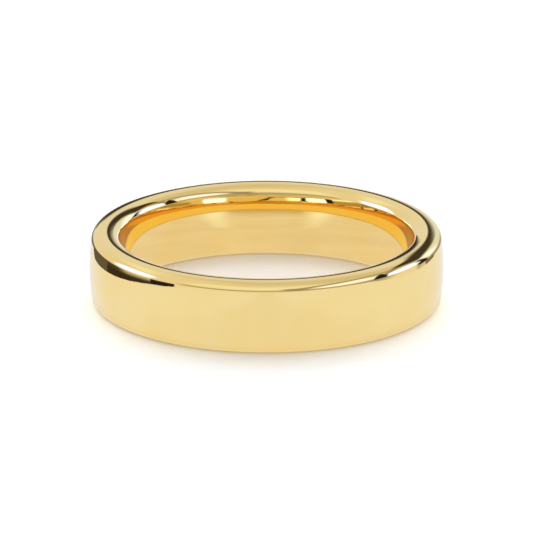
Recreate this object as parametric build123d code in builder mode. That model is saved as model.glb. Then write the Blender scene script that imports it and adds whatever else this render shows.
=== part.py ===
from build123d import *
import os
from math import sqrt

# A plain comfort-fit wedding band, turned from one seamless gold blank.
# The ring lies flat: its axis is Z and its origin is the centre of the ring at mid-width.
# All sizes are in millimetres.

# Driving dimensions
bore_diameter = 17.75  # finger hole at its narrowest, US size 7 1/2
wall_thickness = 2.05  # radial, at mid-width
band_width = 4.52  # along the finger, a nominal 4.5 mm band
crown_radius = 12.4  # curve of the gently crowned outside, seen in section
comfort_radius = 8.8  # curve of the barrel-shaped inside, seen in section
bore_land = 0.30  # straight stretch in the middle of the inside
rim_drop = 0.15  # how far the domed rim falls from its crest to its corners
shoulder_radius = 0.52  # rounded corner between the outside and the rim
inner_edge_radius = 0.53  # rounded corner between the inside and the rim


def sagitta(radius, half_chord):
    """How far an arc falls away from its tangent over half a chord."""
    return radius - sqrt(radius**2 - half_chord**2)


# Worked out from them
bore_radius = bore_diameter / 2
outer_radius = bore_radius + wall_thickness
half_width = band_width / 2
half_land = bore_land / 2
corner_height = half_width - rim_drop
outer_corner = outer_radius - sagitta(crown_radius, corner_height)
inner_corner = bore_radius + sagitta(comfort_radius, corner_height - half_land)
rim_crest = (outer_corner + inner_corner) / 2

with BuildPart() as band:
    # the section of the band, which stands to the right of the ring's axis
    with BuildSketch(Plane.XZ) as section:
        with BuildLine():
            crown = ThreePointArc(
                (outer_corner, -corner_height),
                (outer_radius, 0),
                (outer_corner, corner_height),
            )
            land = Line((bore_radius, half_land), (bore_radius, -half_land))
            upper_curve = TangentArc(land @ 0, (inner_corner, corner_height), tangent=(0, 1))
            lower_curve = TangentArc(land @ 1, (inner_corner, -corner_height), tangent=(0, -1))
            ThreePointArc(crown @ 1, (rim_crest, half_width), upper_curve @ 1)
            ThreePointArc(crown @ 0, (rim_crest, -half_width), lower_curve @ 1)
        make_face()
        shoulders = section.vertices().group_by(Axis.X)[-1]
        fillet(shoulders, shoulder_radius)
        inner_edges = section.vertices().group_by(Axis.X)[1]
        fillet(inner_edges, inner_edge_radius)
    revolve(axis=Axis.Z)

band.part.label = "band"
os.makedirs("parts", exist_ok=True)
export_step(band.part, "parts/band.step")
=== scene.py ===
"""A polished gold wedding band on a pale floor in a soft studio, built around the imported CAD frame."""

import math

import bpy
import numpy as np
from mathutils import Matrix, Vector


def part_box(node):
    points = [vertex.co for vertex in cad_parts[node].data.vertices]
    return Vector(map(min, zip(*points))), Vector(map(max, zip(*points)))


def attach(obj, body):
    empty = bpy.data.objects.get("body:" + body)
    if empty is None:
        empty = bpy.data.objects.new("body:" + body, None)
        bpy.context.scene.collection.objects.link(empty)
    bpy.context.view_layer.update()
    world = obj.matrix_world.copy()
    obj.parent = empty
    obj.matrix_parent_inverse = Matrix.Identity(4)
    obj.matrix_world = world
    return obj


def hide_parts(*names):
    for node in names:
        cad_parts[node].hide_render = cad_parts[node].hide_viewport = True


MM = 0.001

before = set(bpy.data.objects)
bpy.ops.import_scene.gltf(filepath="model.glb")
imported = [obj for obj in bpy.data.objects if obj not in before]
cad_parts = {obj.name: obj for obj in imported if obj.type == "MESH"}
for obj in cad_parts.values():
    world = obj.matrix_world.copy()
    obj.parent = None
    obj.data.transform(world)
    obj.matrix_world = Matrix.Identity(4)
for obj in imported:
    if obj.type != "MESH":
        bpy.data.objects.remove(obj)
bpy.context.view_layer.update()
low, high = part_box("band")

# ---------------------------------------------------------------- driving sizes of the band, in metres

OUTER_RADIUS = high.x
HALF_WIDTH = high.z
WALL = 2.05 * MM
BORE_RADIUS = OUTER_RADIUS - WALL
CROWN_RADIUS = 12.4 * MM
COMFORT_RADIUS = 8.8 * MM
HALF_LAND = 0.15 * MM
RIM_DROP = 0.15 * MM
SHOULDER_RADIUS = 0.52 * MM
INNER_EDGE_RADIUS = 0.53 * MM

STEPS_AROUND = 720
ARC_STEP = math.radians(1.2)

# ---------------------------------------------------------------- the band's section


def sagitta(radius, half_chord):
    """How far an arc falls away from its tangent over half a chord."""
    return radius - math.sqrt(radius**2 - half_chord**2)


def arc(centre, radius, start, end, min_steps=24):
    """Points and outward normals (r, z, nr, nz) along an arc, from the start angle to the end angle."""
    steps = max(min_steps, math.ceil(abs(end - start) / ARC_STEP))
    angles = np.linspace(start, end, steps + 1)
    normals = np.stack([np.cos(angles), np.sin(angles)], 1)
    return np.hstack([np.array(centre) + radius * normals, normals])


def corner_centre(side, side_radius, rim, rim_radius, corner_radius):
    """Centre of the small arc that rounds the corner between a side's arc and the rim's arc."""
    (r1, z1), (r2, z2) = side, rim
    a, b = side_radius - corner_radius, rim_radius - corner_radius
    gap = math.hypot(r2 - r1, z2 - z1)
    along = (a**2 - b**2 + gap**2) / (2 * gap)
    off = math.sqrt(a**2 - along**2)
    ur, uz = (r2 - r1) / gap, (z2 - z1) / gap
    options = [(r1 + along * ur - turn * off * uz, z1 + along * uz + turn * off * ur) for turn in (1, -1)]
    return max(options, key=lambda point: point[1])


def angle(centre, point):
    return math.atan2(point[1] - centre[1], point[0] - centre[0])


def upper_section():
    """The half of the section above mid-width, from the outside over the rim to the middle of the bore."""
    corner_height = HALF_WIDTH - RIM_DROP
    outer_corner = OUTER_RADIUS - sagitta(CROWN_RADIUS, corner_height)
    inner_corner = BORE_RADIUS + sagitta(COMFORT_RADIUS, corner_height - HALF_LAND)
    half_rim = (outer_corner - inner_corner) / 2
    rim_radius = (half_rim**2 + RIM_DROP**2) / (2 * RIM_DROP)
    rim = (inner_corner + half_rim, HALF_WIDTH - rim_radius)
    crown = (OUTER_RADIUS - CROWN_RADIUS, 0)
    comfort = (BORE_RADIUS + COMFORT_RADIUS, HALF_LAND)
    shoulder = corner_centre(crown, CROWN_RADIUS, rim, rim_radius, SHOULDER_RADIUS)
    edge = corner_centre(comfort, COMFORT_RADIUS, rim, rim_radius, INNER_EDGE_RADIUS)
    crown_end, rim_start = angle(crown, shoulder), angle(rim, shoulder)
    rim_end, comfort_start = angle(rim, edge), angle(comfort, edge)
    return np.vstack([
        arc(crown, CROWN_RADIUS, 0, crown_end),
        arc(shoulder, SHOULDER_RADIUS, crown_end, rim_start)[1:],
        arc(rim, rim_radius, rim_start, rim_end)[1:],
        arc(edge, INNER_EDGE_RADIUS, rim_end, comfort_start)[1:],
        arc(comfort, COMFORT_RADIUS, comfort_start, math.pi)[1:],
    ])


def closed_section():
    """The whole section, once round, with no point repeated."""
    upper = upper_section()
    lower = upper[::-1] * np.array([1, -1, 1, -1])
    return np.vstack([upper, lower[:-1]])


def revolved(name, section):
    """A closed ring mesh turned from a section, smooth, with the section's own normals."""
    count = len(section)
    angles = np.arange(STEPS_AROUND) * 2 * math.pi / STEPS_AROUND
    cos, sin = np.cos(angles)[:, None], np.sin(angles)[:, None]
    r, z, nr, nz = section.T
    points = np.stack([r * cos, r * sin, z + 0 * cos], -1).reshape(-1, 3)
    normals = np.stack([nr * cos, nr * sin, nz + 0 * cos], -1).reshape(-1, 3)
    faces = []
    for turn in range(STEPS_AROUND):
        here, ahead = turn * count, (turn + 1) % STEPS_AROUND * count
        for k in range(count):
            after = (k + 1) % count
            faces.append((here + k, ahead + k, ahead + after, here + after))
    mesh = bpy.data.meshes.new(name)
    mesh.from_pydata(points.tolist(), [], faces)
    mesh.validate()
    mesh.polygons.foreach_set("use_smooth", [True] * len(faces))
    mesh.normals_split_custom_set_from_vertices(normals.tolist())
    ring = bpy.data.objects.new(name, mesh)
    bpy.context.scene.collection.objects.link(ring)
    return ring


# ---------------------------------------------------------------- node helper


class Tree:
    """Short calls for building a node tree."""

    def __init__(self, tree):
        self.tree = tree
        tree.nodes.clear()

    def add(self, kind, inputs=(), **settings):
        node = self.tree.nodes.new(kind)
        for key, value in settings.items():
            setattr(node, key, value)
        for key, value in dict(inputs).items():
            self.plug(value, node.inputs[key])
        return node

    def plug(self, value, socket):
        if isinstance(value, bpy.types.NodeSocket):
            self.tree.links.new(value, socket)
        else:
            socket.default_value = value

    def place(self):
        """Position in the scene, in metres."""
        return self.add("ShaderNodeNewGeometry").outputs["Position"]

    def math(self, operation, *values, clamp=False):
        node = self.add("ShaderNodeMath", operation=operation, use_clamp=clamp)
        for value, socket in zip(values, node.inputs):
            self.plug(value, socket)
        return node.outputs[0]

    def ramp(self, value, start, end, smooth=True):
        """0 below start and 1 above end (or the other way round), with an eased step between."""
        kind = "SMOOTHSTEP" if smooth else "LINEAR"
        inputs = {"Value": value, "From Min": start, "From Max": end}
        return self.add("ShaderNodeMapRange", inputs, interpolation_type=kind).outputs[0]

    def shade(self, colour, level):
        return self.add("ShaderNodeVectorMath", {0: colour, "Scale": level}, operation="SCALE").outputs[0]

    def tint(self, colour, by):
        return self.add("ShaderNodeVectorMath", {0: colour, 1: by}, operation="MULTIPLY").outputs[0]

    def boost(self, colour, start, gain, level):
        """Multiplies what a colour has above start by gain, then scales the whole."""
        inputs = {0: colour, 1: (start,) * 3}
        low_part = self.add("ShaderNodeVectorMath", inputs, operation="MINIMUM").outputs[0]
        inputs = {0: colour, 1: low_part}
        over = self.add("ShaderNodeVectorMath", inputs, operation="SUBTRACT").outputs[0]
        inputs = {0: over, 1: (gain * level,) * 3, 2: self.shade(low_part, level)}
        return self.add("ShaderNodeVectorMath", inputs, operation="MULTIPLY_ADD").outputs[0]

    def mix(self, factor, a, b):
        node = self.add("ShaderNodeMix", data_type="RGBA")
        self.plug(factor, node.inputs[0])
        self.plug(a, node.inputs[6])
        self.plug(b, node.inputs[7])
        return node.outputs[2]


# ---------------------------------------------------------------- studio

# how bright the surround looks in the gold
REFLECTED_LEVEL = 0.87
# how bright the sky is that lights the floor, and how much brighter it gets towards the back
SKY_LEVEL = 0.92
SKY_BACK = 3.6
BACKDROP_LEVEL = 1.1
# in a second reflection, what is brighter than white is made this much brighter still
WINDOW_START = 1.0
WINDOW_GAIN = 3.0
# what the surround's colour is multiplied by from the third reflection on
DEEP_TINT = (0.76, 0.88, 1.5)
# a ray's count of reflections is above these from its second, third and fourth reflection on
SECOND = 1.5
THIRD = 2.5
FOURTH = 3.5

DAYLIGHT = (1.25, 1.7, 4.3, 1)
SOFT_DAYLIGHT = (1.2, 1.45, 2.4, 1)


def grey(level, warmth=0.0):
    """A linear colour of this brightness, a little warmer than grey when warmth is above 0."""
    return (level * (1 + warmth), level, level * (1 - warmth), 1)


class Studio:
    """The surround that the gold reflects.

    Directions are an azimuth, 0 behind the band and 90 to its right, and an elevation, both in degrees.
    Each call lays one light or dark shape over what is already there.
    """

    def __init__(self, tree, light):
        self.tree = tree
        self.ray = tree.add("ShaderNodeTexCoord").outputs["Generated"]
        x, y, z = tree.add("ShaderNodeSeparateXYZ", {0: self.ray}).outputs
        self.azimuth = tree.math("DEGREES", tree.math("ARCTAN2", x, y))
        self.elevation = tree.math("DEGREES", tree.math("ARCSINE", z))
        self.forward = y
        self.light = light

    def cover(self, mask, colour):
        self.light = self.tree.mix(mask, self.light, colour)

    def within(self, value, start, end, edge):
        """1 between start and end, easing to 0 over the edge's width at both ends."""
        rise = self.tree.ramp(value, start - edge / 2, start + edge / 2)
        fall = self.tree.ramp(value, end + edge / 2, end - edge / 2)
        return self.tree.math("MULTIPLY", rise, fall)

    def across(self, azimuth):
        """Degrees to the right of an azimuth, from -180 to 180."""
        return self.tree.math("WRAP", self.tree.math("SUBTRACT", self.azimuth, azimuth), 180.0, -180.0)

    def off(self, azimuth, elevation):
        """Degrees away from a direction."""
        flat = math.cos(math.radians(elevation))
        centre = (
            math.sin(math.radians(azimuth)) * flat,
            math.cos(math.radians(azimuth)) * flat,
            math.sin(math.radians(elevation)),
        )
        inputs = {0: self.ray, 1: centre}
        cosine = self.tree.add("ShaderNodeVectorMath", inputs, operation="DOT_PRODUCT").outputs["Value"]
        return self.tree.math("DEGREES", self.tree.math("ARCCOSINE", cosine))

    def window(self, start, end, fade):
        """1 between two azimuths, easing to 0 over the fade."""
        return self.within(self.across((start + end) / 2), (start - end) / 2, (end - start) / 2, fade)

    def panel(self, azimuth, elevation, width, height, colour, edge=3.0, slope=0.0):
        """A rectangular light or flag, rising to the right by the slope."""
        across = self.across(azimuth)
        side = self.within(across, -width / 2, width / 2, edge)
        level = self.tree.math("MULTIPLY_ADD", across, -slope, self.elevation)
        rise = self.within(level, elevation - height / 2, elevation + height / 2, edge)
        self.cover(self.tree.math("MULTIPLY", side, rise), colour)

    def pool(self, azimuth, elevation, width, height, colour, edge=0.3):
        """A light with rounded corners; the edge is a share of its size."""
        t = self.tree
        side = t.math("DIVIDE", self.across(azimuth), width / 2)
        rise = t.math("DIVIDE", t.math("SUBTRACT", self.elevation, elevation), height / 2)
        side = t.math("POWER", t.math("ABSOLUTE", side), 3.0)
        rise = t.math("POWER", t.math("ABSOLUTE", rise), 3.0)
        reach = t.math("POWER", t.math("ADD", side, rise), 1 / 3)
        self.cover(t.ramp(reach, 1 + edge / 2, 1 - edge / 2), colour)

    def hoop(self, centre, inner, outer, colour, edge, window):
        """A round band about a centre direction, kept within a window and above the floor."""
        ring = self.within(self.off(*centre), inner, outer, edge)
        self.cover(self.tree.math("MULTIPLY", ring, self.above(window)), colour)

    def crescent(self, outside, radius, hollow, hollow_radius, colour, edge, soft, window):
        """What lies inside one circle and outside another, kept within a window and above the floor."""
        t = self.tree
        inside = t.ramp(self.off(*outside), radius + edge / 2, radius - edge / 2)
        beyond = t.ramp(self.off(*hollow), hollow_radius - soft / 2, hollow_radius + soft / 2)
        shape = t.math("MULTIPLY", inside, beyond)
        self.cover(t.math("MULTIPLY", shape, self.above(window)), colour)

    def above(self, window):
        """1 within a window, given as (start, end, fade), and above the floor; 0 elsewhere."""
        foot = self.tree.ramp(self.elevation, 0.0, 3.0)
        return self.tree.math("MULTIPLY", foot, self.window(*window))


def walls(studio):
    """The broad changes of light over the walls and the ceiling."""
    t = studio.tree
    # pale walls from the horizon up
    studio.cover(t.ramp(studio.elevation, -0.5, 1.0), grey(0.95, -0.03))
    # a dimmer stretch high up at the back right
    studio.panel(48, 64, 124, 60, grey(0.77, 0.01), 22)
    # in front, a bright stretch with a dim wall and a darker corner below it
    studio.panel(186, 42, 104, 36, grey(1.13, -0.06), 26)
    studio.panel(190, 8, 96, 13, grey(0.47, 0.03), 9)
    studio.panel(160, 20, 16, 26, grey(0.25, 0.1), 12)
    # a bright arc at the back left, above the softbox
    studio.hoop((-52, -24), 66, 76, grey(1.17, -0.08), 9, (-76, -12, 26))
    # the ceiling overhead
    studio.cover(t.ramp(studio.elevation, 62.0, 88.0), grey(0.85, -0.01))


def left_side(studio):
    """A large softbox, and the dim ground past the left edge of the paper."""
    studio.pool(-81.5, 16, 37, 32, DAYLIGHT, 0.45)
    studio.pool(-15, -8, 33, 15, grey(0.4, -0.03), 0.7)
    studio.pool(-45, -11.5, 58, 14, grey(0.13, 0.12), 0.5)
    # darkest in a strip under the softbox
    studio.panel(-84, -10.9, 60, 7, grey(0.04, 0.2), 2.5, -0.1)
    studio.panel(-109, -7.1, 19, 6, grey(0.015, 0.1), 1.5, -0.1)


def windows(studio):
    """A row of arched windows at the right: first the panes, then the frames and arches round them."""
    studio.panel(30, 15, 52, 24, grey(1.02, -0.12), 10)
    studio.panel(44, 16, 24, 24, SOFT_DAYLIGHT, 14)
    studio.panel(78, 17, 34, 26, DAYLIGHT, 8)
    studio.hoop((100, -19.3), 30, 66, SOFT_DAYLIGHT, 6, (96, 146, 16))
    # the sill and the arch of the front window
    studio.panel(128, 8, 60, 16, grey(0.5, 0.08), 8)
    studio.hoop((100, -19.3), 67, 77, grey(0.42, 0.02), 6, (58, 170, 24))
    # the arch of the back window, dark along its left half, and the foot of that half
    studio.hoop((50.6, -11), 51, 56.9, grey(0.36, 0.05), 3, (30, 82, 6))
    studio.crescent((50.6, -11), 56.9, (35.5, -14.4), 42.1, grey(0.05, 0.2), 1.2, 7, (-8, 52, 18))
    studio.hoop((6, -7), 15.5, 23, grey(0.05, 0.1), 2.5, (-20, 3, 3))
    # the arch of the middle window, dark along its right half
    studio.hoop((53.5, -2.3), 43.5, 47, grey(0.38, 0.04), 2, (58, 96, 6))
    studio.crescent((58.9, -1), 48.2, (26.6, -7.6), 70.0, grey(0.02, 0.1), 1.5, 2, (74, 112, 5))


def right_side(studio):
    """The dim ground past the right edge of the paper, and the dark post between two windows."""
    studio.pool(34, -6, 36, 13, grey(0.42, -0.04), 0.7)
    studio.panel(47, -10.5, 14, 7, grey(0.22, 0.1), 3)
    studio.pool(104, -1, 33, 11, grey(0.46, -0.05), 0.8)
    studio.panel(57, 10, 7, 26, grey(0.03), 4)
    studio.panel(58.5, -1, 13, 17, grey(0.02), 5)


def build_world():
    """The surround as the gold sees it, a plain sky for the floor and a white backdrop for the camera."""
    world = bpy.data.worlds.new("studio")
    bpy.context.scene.world = world
    world.use_nodes = True
    world.cycles.sampling_method = "NONE"
    # light is reflected many times at the ends of the inner wall
    bpy.context.scene.cycles.max_bounces = 16
    bpy.context.scene.cycles.glossy_bounces = 12
    t = Tree(world.node_tree)
    studio = Studio(t, grey(1.0))
    walls(studio)
    left_side(studio)
    windows(studio)
    right_side(studio)
    path = t.add("ShaderNodeLightPath").outputs
    reflections = path["Glossy Depth"]
    seen = t.shade(studio.light, REFLECTED_LEVEL)
    # the windows stay white in a second reflection; from the third on, less red turns orange to brown
    twice = t.math("GREATER_THAN", reflections, SECOND)
    thrice = t.math("GREATER_THAN", reflections, THIRD)
    seen = t.mix(twice, seen, t.boost(studio.light, WINDOW_START, WINDOW_GAIN, REFLECTED_LEVEL))
    seen = t.mix(thrice, seen, t.tint(studio.light, DEEP_TINT))
    seen = t.mix(path["Is Camera Ray"], seen, grey(BACKDROP_LEVEL))
    # the floor is lit most from behind, so the band's shadow falls towards the camera
    behind = t.math("MAXIMUM", studio.forward, 0.0)
    sky = t.math("MULTIPLY_ADD", behind, SKY_BACK, SKY_LEVEL)
    seen = t.mix(path["Is Diffuse Ray"], seen, sky)
    background = t.add("ShaderNodeBackground", {"Color": seen})
    t.add("ShaderNodeOutputWorld", {"Surface": background.outputs[0]})


# ---------------------------------------------------------------- materials


GOLD_PALER = (1.0, 0.748, 0.305, 1)
GOLD_DEEPER = (1.0, 0.722, 0.268, 1)
# how many features of each kind there are in a metre
POLISH_MARKS = 9000.0
HAIRLINES_ALONG = 260.0
HAIRLINES_ACROSS = 9000.0
PATCHES = 330.0
# the polish marks are this much longer round the band than across it
POLISH_STRETCH = 60
MARK_DEPTH = 0.00025 * MM
POLISHED_ROUGHNESS = 0.02
HAZY_ROUGHNESS = 0.055
# what the worn corners and the hairlines add to the roughness
CORNER_ROUGHNESS = 0.02
HAIRLINE_ROUGHNESS = 0.03
CORNER_PALENESS = 0.35


def polish_marks(t, position):
    """Heights, about 0 to 1, of the fine lines that the polishing wheel leaves round the band."""
    x, y, z = t.add("ShaderNodeSeparateXYZ", {0: position}).outputs
    flat = t.add("ShaderNodeCombineXYZ", {0: x, 1: y}).outputs[0]
    radius = t.add("ShaderNodeVectorMath", {0: flat}, operation="LENGTH").outputs["Value"]
    around = t.shade(flat, 1 / POLISH_STRETCH)
    across = t.add("ShaderNodeCombineXYZ", {0: radius, 1: radius, 2: z}).outputs[0]
    place = t.add("ShaderNodeVectorMath", {0: around, 1: across}, operation="ADD").outputs[0]
    inputs = {"Vector": place, "Scale": POLISH_MARKS, "Detail": 3.0, "Roughness": 0.6}
    return t.add("ShaderNodeTexNoise", inputs).outputs[0]


def hairlines(t, position, turn):
    """Short fine scratches that run one way: 1 on a scratch and 0 elsewhere."""
    scale = (HAIRLINES_ALONG, HAIRLINES_ALONG, HAIRLINES_ACROSS)
    inputs = {"Vector": position, "Rotation": (turn, 0.6 * turn, 1.7 * turn), "Scale": scale}
    place = t.add("ShaderNodeMapping", inputs).outputs[0]
    noise = t.add("ShaderNodeTexNoise", {"Vector": place, "Scale": 1.0, "Detail": 1.0}).outputs[0]
    return t.ramp(noise, 0.70, 0.76)


def rounded_corner(t):
    """1 on the rounded corners, which face between outwards and along the axis, and 0 on the flats."""
    normal = t.add("ShaderNodeTexCoord").outputs["Normal"]
    up = t.add("ShaderNodeSeparateXYZ", {0: normal}).outputs[2]
    up = t.math("MULTIPLY", up, up)
    return t.math("MULTIPLY", t.math("MULTIPLY", up, t.math("SUBTRACT", 1.0, up)), 4.0)


def gold():
    """Mirror-polished yellow gold: faint polish lines, a few hairlines, hazy patches and softer corners."""
    material = bpy.data.materials.new("polished_gold")
    material.use_nodes = True
    t = Tree(material.node_tree)
    position = t.add("ShaderNodeTexCoord").outputs["Object"]
    marks = polish_marks(t, position)
    scratches = t.math("ADD", hairlines(t, position, 0.5), hairlines(t, position, 2.1), clamp=True)
    patches = t.add("ShaderNodeTexNoise", {"Vector": position, "Scale": PATCHES, "Detail": 3.0}).outputs[0]
    corner = rounded_corner(t)

    colour = t.mix(t.ramp(patches, 0.3, 0.7), GOLD_DEEPER, GOLD_PALER)
    colour = t.mix(t.math("MULTIPLY", corner, CORNER_PALENESS), colour, GOLD_PALER)
    inputs = {0: patches, 1: 0.45, 2: 0.75, 3: POLISHED_ROUGHNESS, 4: HAZY_ROUGHNESS}
    haze = t.add("ShaderNodeMapRange", inputs).outputs[0]
    roughness = t.math("MULTIPLY_ADD", corner, CORNER_ROUGHNESS, haze)
    roughness = t.math("MULTIPLY_ADD", scratches, HAIRLINE_ROUGHNESS, roughness)

    # a scratch is cut half as deep as the marks are high
    height = t.math("MULTIPLY_ADD", scratches, -0.5, marks)
    bump = t.add("ShaderNodeBump", {"Height": height, "Distance": MARK_DEPTH})
    shader = t.add("ShaderNodeBsdfPrincipled", {
        "Base Color": colour, "Metallic": 1.0, "Roughness": roughness, "Normal": bump.outputs[0],
    })
    t.add("ShaderNodeOutputMaterial", {"Surface": shader.outputs[0]})
    return material


def from_axis(t):
    """Distance from the band's axis, and positions to the right and to the back, all in millimetres."""
    x, y, z = t.add("ShaderNodeSeparateXYZ", {0: t.place()}).outputs
    flat = t.add("ShaderNodeCombineXYZ", {0: x, 1: y}).outputs[0]
    distance = t.add("ShaderNodeVectorMath", {0: flat}, operation="LENGTH").outputs["Value"]
    return [t.math("DIVIDE", value, MM) for value in (distance, x, y)]


def unevenness(t, per_metre, detail, share):
    """A brightness that wanders about 1 by this share, with the noise that it comes from."""
    inputs = {"Vector": t.place(), "Scale": per_metre, "Detail": detail}
    noise = t.add("ShaderNodeTexNoise", inputs).outputs[0]
    inputs = {0: noise, 1: 0.3, 2: 0.7, 3: 1 - share, 4: 1 + share}
    return t.add("ShaderNodeMapRange", inputs).outputs[0], noise


FLOOR_WHITE = (0.78, 0.78, 0.78, 1)
# painted light: the warm light that the gold throws on the paper, painted into its colour near the band and
# inside it
FLOOR_GLOW_PAINTED_NEAR_BAND = (0.95, 0.92, 0.86, 1)
FLOOR_GLOW_PAINTED_IN_MIDDLE = (0.80, 0.75, 0.71, 1)
FLOOR_GLOW_PAINTED_AT_WALL = (0.95, 0.90, 0.84, 1)
# distances from the axis, in millimetres, from where a change starts to where it is complete
PAINTED_GLOW_NEAR_BAND = (15.0, 11.0)
PAINTED_GLOW_TO_WALL = (4.0, 7.5)
INSIDE_BAND = (9.8, 9.2)
GRAIN_HEIGHT = 0.01 * MM


def pale_floor():
    """Matt white paper, warmer near the band and inside it, where the gold throws its colour; this warm
    light is partly rendered and partly painted into the paper's colour, which is also painted brighter
    there than the plain paper.
    """
    material = bpy.data.materials.new("pale_floor")
    material.use_nodes = True
    t = Tree(material.node_tree)
    distance = from_axis(t)[0]
    # painted warm light near the band and inside it, paler towards the inner wall, on top of the rendered
    # shade
    outside = t.mix(t.ramp(distance, *PAINTED_GLOW_NEAR_BAND), FLOOR_WHITE, FLOOR_GLOW_PAINTED_NEAR_BAND)
    inside = t.mix(t.ramp(distance, *PAINTED_GLOW_TO_WALL), FLOOR_GLOW_PAINTED_IN_MIDDLE, FLOOR_GLOW_PAINTED_AT_WALL)
    colour = t.mix(t.ramp(distance, *INSIDE_BAND), outside, inside)
    uneven, grain = unevenness(t, per_metre=900.0, detail=4.0, share=0.015)
    bump = t.add("ShaderNodeBump", {"Height": grain, "Distance": GRAIN_HEIGHT})
    shader = t.add("ShaderNodeBsdfDiffuse", {"Color": t.shade(colour, uneven), "Normal": bump.outputs[0]})
    t.add("ShaderNodeOutputMaterial", {"Surface": shader.outputs[0]})
    return material


# painted light: the floor as the gold sees it, painted brighter towards the sides
GLOW_MIDDLE = (0.855, 0.885, 0.95, 1)
GLOW_SIDES = (0.885, 0.94, 1.08, 1)
# painted shadow of the band round its foot
GLOW_PAINTED_FOOT_SHADE = (0.85, 0.83, 0.80, 1)
GLOW_INSIDE = (0.82, 0.79, 0.77, 1)
# painted shade on the floor inside the band's front, where its front wall shades it
GLOW_PAINTED_FRONT_SHADE = (0.62, 0.48, 0.28, 1)
# painted reflections of the same floor by way of two, three and more reflections, and a painted contact
# shadow along the line where it meets the band
GLOW_TWICE = (0.91, 0.89, 0.6, 1)
GLOW_PAINTED_CONTACT_SHADOW = (0.55, 0.5, 0.4, 1)
GLOW_THRICE = (0.8, 0.7, 0.62, 1)
GLOW_THRICE_BACK = (0.5, 0.44, 0.6, 1)
GLOW_DEEPER = (0.5, 0.5, 0.45, 1)
# millimetres from the middle, from where a change starts to where it is complete
TO_SIDES = (3.0, 13.0)
TO_PAINTED_FOOT_SHADE = (11.8, 10.6)
TO_INSIDE = (10.0, 9.2)
TO_PAINTED_FRONT_SHADE = (1.0, -9.0)
TO_PAINTED_CONTACT_SHADOW = (8.7, 9.5)
TO_BACK = (2.0, 7.0)

# painted light: a caustic that the gold would throw inside the band
PAINTED_BEAM_COLOUR = (0.98, 1.05, 1.15, 1)
BEAM_START = 4.4
# degrees from straight forwards, and millimetres to the back, over which a beam rises from nothing to full
BEAM_NEAR_SIDE = (25, 43)
BEAM_FAR_SIDE = (64, 45)
BEAM_RISE = (6.5, -1.0)


def painted_light_beams(t, side, back):
    """Two painted beams of light inside the band, a painted caustic, that part from a point and widen
    towards the front.
    """
    turn = t.math("ARCTAN2", t.math("ABSOLUTE", side), t.math("SUBTRACT", BEAM_START, back))
    turn = t.math("DEGREES", turn)
    beam = t.math("MULTIPLY", t.ramp(turn, *BEAM_NEAR_SIDE), t.ramp(turn, *BEAM_FAR_SIDE))
    return t.math("MULTIPLY", beam, t.ramp(back, *BEAM_RISE, smooth=False))


def painted_floor_reflection():
    """The floor as the gold sees it, a painted reflection that glows: painted shade makes it dimmer at the
    band's foot and inside its front, it is painted brighter towards the sides, and painted light beams lie
    inside the band.
    """
    material = bpy.data.materials.new("painted_floor_reflection")
    material.use_nodes = True
    t = Tree(material.node_tree)
    distance, side, back = from_axis(t)
    outside = t.mix(t.ramp(t.math("ABSOLUTE", side), *TO_SIDES), GLOW_MIDDLE, GLOW_SIDES)
    # painted shade at the band's foot
    outside = t.mix(t.ramp(distance, *TO_PAINTED_FOOT_SHADE), outside, GLOW_PAINTED_FOOT_SHADE)
    # painted shade inside the front of the band
    inside = t.mix(t.ramp(back, *TO_PAINTED_FRONT_SHADE), GLOW_INSIDE, GLOW_PAINTED_FRONT_SHADE)
    inside = t.mix(painted_light_beams(t, side, back), inside, PAINTED_BEAM_COLOUR)
    uneven, _ = unevenness(t, per_metre=420.0, detail=2.0, share=0.04)
    inside = t.shade(inside, uneven)
    colour = t.mix(t.ramp(distance, *TO_INSIDE), outside, inside)
    # painted reflections for rays that have met the gold more than once, with a painted contact shadow at
    # the band's inner foot
    reflections = t.add("ShaderNodeLightPath").outputs["Glossy Depth"]
    twice = t.mix(t.ramp(distance, *TO_PAINTED_CONTACT_SHADOW), GLOW_TWICE, GLOW_PAINTED_CONTACT_SHADOW)
    colour = t.mix(t.math("GREATER_THAN", reflections, SECOND), colour, twice)
    thrice = t.mix(t.ramp(back, *TO_BACK), GLOW_THRICE, GLOW_THRICE_BACK)
    colour = t.mix(t.math("GREATER_THAN", reflections, THIRD), colour, thrice)
    colour = t.mix(t.math("GREATER_THAN", reflections, FOURTH), colour, GLOW_DEEPER)
    shader = t.add("ShaderNodeEmission", {"Color": colour})
    t.add("ShaderNodeOutputMaterial", {"Surface": shader.outputs[0]})
    return material


# ---------------------------------------------------------------- floor and camera

# in metres
FLOOR_SIZE = 6.0
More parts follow.
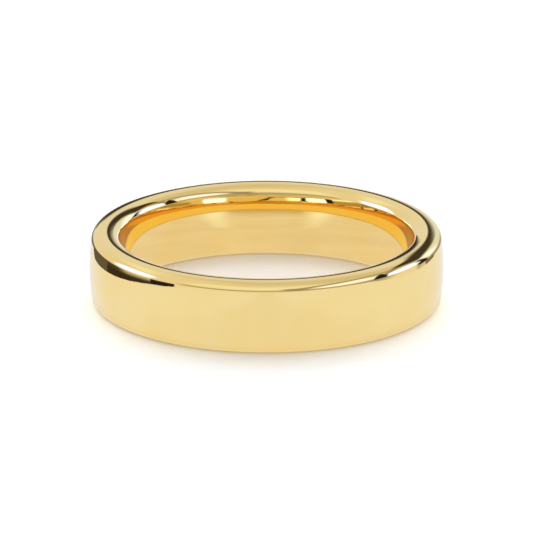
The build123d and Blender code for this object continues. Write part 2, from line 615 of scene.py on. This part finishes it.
# the paper as far as it shows in the gold, in millimetres, clockwise from its far left corner
PAPER_CORNERS = (
    (-17, 14), (17, 14), (23, 9), (80, -55), (80, -115), (-65, -115), (-65, -70), (-33.5, -12), (-17.3, 9),
)


def flat_piece(name, corners, material):
    """A flat piece of floor at the height the band stands on."""
    points = [(x, y, low.z) for x, y in corners]
    mesh = bpy.data.meshes.new(name)
    mesh.from_pydata(points, [], [tuple(reversed(range(len(points))))])
    mesh.materials.append(material)
    floor = bpy.data.objects.new(name, mesh)
    bpy.context.scene.collection.objects.link(floor)
    return floor


def build_floor():
    """The floor, and the part of it near the band that shows in the gold, as a glowing sheet that only
    reflections see, with painted light and shade.
    """
    half = FLOOR_SIZE / 2
    square = ((-half, half), (half, half), (half, -half), (-half, -half))
    floor = flat_piece("floor", square, pale_floor())
    floor.visible_glossy = False
    paper = [(x * MM, y * MM) for x, y in PAPER_CORNERS]
    reflected = flat_piece("painted_floor_reflection", paper, painted_floor_reflection())
    reflected.visible_camera = False
    reflected.visible_diffuse = False
    reflected.visible_shadow = False


CAMERA_ELEVATION = math.radians(17.9)
CAMERA_DISTANCE = 1.04
VIEW_WIDTH = 32.85 * MM
SENSOR_WIDTH = 36.0
AIM_DROP = 0.063 * MM


def build_camera():
    """A long lens that looks down on the band from the front, aimed just below its middle."""
    data = bpy.data.cameras.new("camera")
    data.sensor_width = SENSOR_WIDTH
    data.lens = SENSOR_WIDTH * CAMERA_DISTANCE / VIEW_WIDTH
    data.clip_start = 0.01
    data.clip_end = 20
    camera = bpy.data.objects.new("camera", data)
    bpy.context.scene.collection.objects.link(camera)
    back, up = math.cos(CAMERA_ELEVATION), math.sin(CAMERA_ELEVATION)
    camera.location = (0, -CAMERA_DISTANCE * back, CAMERA_DISTANCE * up - AIM_DROP)
    camera.rotation_euler = (math.pi / 2 - CAMERA_ELEVATION, 0, 0)
    bpy.context.scene.camera = camera


# ---------------------------------------------------------------- assembly

band = revolved("polished_band", closed_section())
band.data.materials.append(gold())
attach(band, "root")
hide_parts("band")

build_world()
build_floor()
build_camera()
bpy.context.scene.view_settings.view_transform = "Standard"
